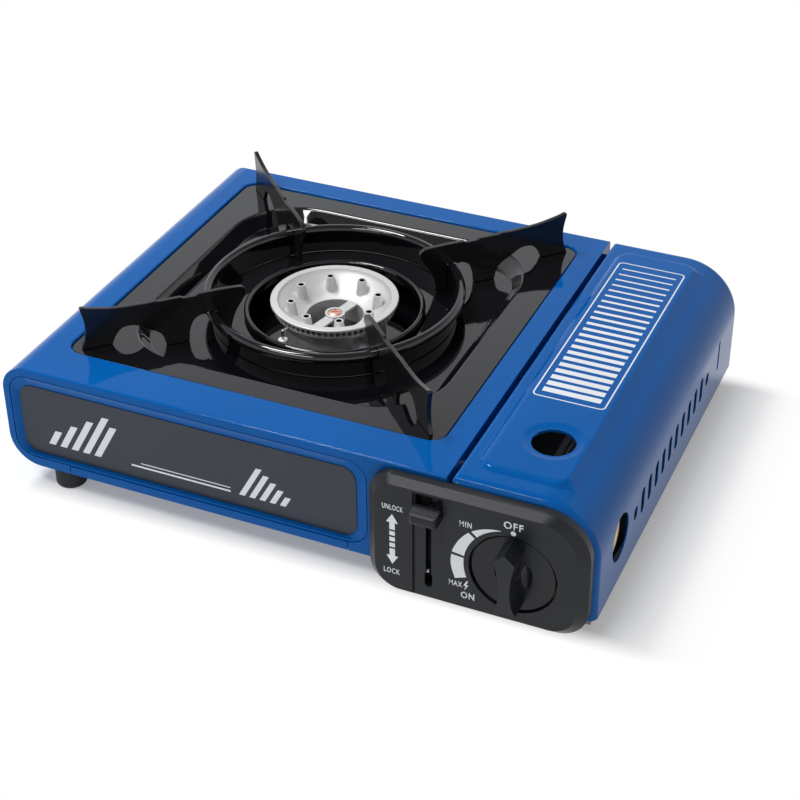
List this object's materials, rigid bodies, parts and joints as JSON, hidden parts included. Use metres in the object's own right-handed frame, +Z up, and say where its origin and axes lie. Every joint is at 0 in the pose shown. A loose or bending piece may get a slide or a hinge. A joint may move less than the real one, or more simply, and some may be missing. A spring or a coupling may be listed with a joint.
{
  "type": "single burner gas hob",
  "caption": "Tabletop gas stove: one burner in a drip pan with a four-armed pan support, and a cartridge bay under a hinged lid with knob and lock lever.",
  "frame": {"origin": "centre of the overall box at the level the feet stand on", "axes": "+X to the right along the front, +Y to the back, +Z up"},
  "size_m": [0.34, 0.2806, 0.1043],
  "materials": {
    "blue_paint": "glossy enamel paint",
    "black_enamel": "glossy vitreous enamel",
    "charcoal_plastic": "fine-grained moulded plastic",
    "plate_grey": "satin printed plate",
    "zinc_steel": "zinc-plated sheet",
    "cast_aluminium": "fine-blasted casting",
    "brass": "yellow-passivated",
    "copper_screw": "coppered",
    "rubber": "matt",
    "white_ceramic": "glazed"
  },
  "bodies": {
    "body": {"base_pan": "blue_paint", "bay_tray": "zinc_steel", "main_shell": "blue_paint", "front_fascia": "blue_paint", "fascia_plate": "plate_grey", "heat_shield": "zinc_steel", "case_screws": "zinc_steel", "foot_front_left": "rubber", "foot_front_right": "rubber", "foot_rear_left": "rubber", "foot_rear_right": "rubber", "control_panel": "charcoal_plastic", "lever_axle": "zinc_steel", "rod_guides": "zinc_steel", "pusher_guides": "zinc_steel", "governor_body": "cast_aluminium", "governor_cap": "brass", "governor_bracket": "zinc_steel", "inlet_socket": "brass", "inlet_seal": "rubber", "jet_nozzle": "brass", "mixing_tube": "zinc_steel", "burner_bowl": "cast_aluminium", "burner_head": "cast_aluminium", "burner_screw": "copper_screw", "burner_bracket": "black_enamel", "spark_insulator": "white_ceramic", "spark_wire": "zinc_steel", "electrode_bracket": "zinc_steel", "igniter_body": "charcoal_plastic", "ignition_lead": "rubber", "cartridge_cradle": "zinc_steel", "hinge_pins": "zinc_steel"},
    "lid": {"lid_cover": "blue_paint"},
    "knob": {"control_knob": "charcoal_plastic", "valve_spindle": "zinc_steel", "ignition_cam": "charcoal_plastic"},
    "igniter_plunger": {"igniter_plunger": "zinc_steel"},
    "lock_lever": {"lever_arm": "zinc_steel", "lever_cap": "charcoal_plastic"},
    "cartridge_pusher": {"pull_rod": "zinc_steel", "pusher_plate": "zinc_steel"},
    "drip_pan": {"drip_pan": "black_enamel"},
    "pan_support": {"support_ring": "black_enamel", "support_arm_front_left": "black_enamel", "support_arm_front_right": "black_enamel", "support_arm_rear_left": "black_enamel", "support_arm_rear_right": "black_enamel"}
  },
  "joints": [
    {"name": "lid_hinge", "type": "hinge", "parent": "body", "child": "lid", "pos_m": [0.0952, -0.001, 0.0755], "axis": [0, -1, 0], "range_deg": [0, 95]},
    {"name": "knob_turn", "type": "hinge", "parent": "body", "child": "knob", "pos_m": [0.129, -0.121, 0.0369], "axis": [0, -1, 0], "range_deg": [0, 130]},
    {"name": "igniter_stroke", "type": "slide", "parent": "body", "child": "igniter_plunger", "axis": [-1, 0, 0], "range_m": [0, 0.004]},
    {"name": "lever_swing", "type": "hinge", "parent": "body", "child": "lock_lever", "pos_m": [0.0836, -0.0219, 0.036], "axis": [1, 0, 0], "range_deg": [0, 20.3]},
    {"name": "pusher_slide", "type": "slide", "parent": "body", "child": "cartridge_pusher", "axis": [0, -1, 0], "range_m": [0, 0.01057]},
    {"name": "pan_lift", "type": "slide", "parent": "body", "child": "drip_pan", "axis": [0, 0, 1], "range_m": [0, 0.08]},
    {"name": "support_lift", "type": "slide", "parent": "drip_pan", "child": "pan_support", "axis": [0, 0, 1], "range_m": [0, 0.06]}
  ],
  "couplings": [
    {"joint": "igniter_stroke", "follows": "knob_turn", "m_per_rad": 0.001763},
    {"joint": "pusher_slide", "follows": "lever_swing", "m_per_rad": 0.029843}
  ]
}
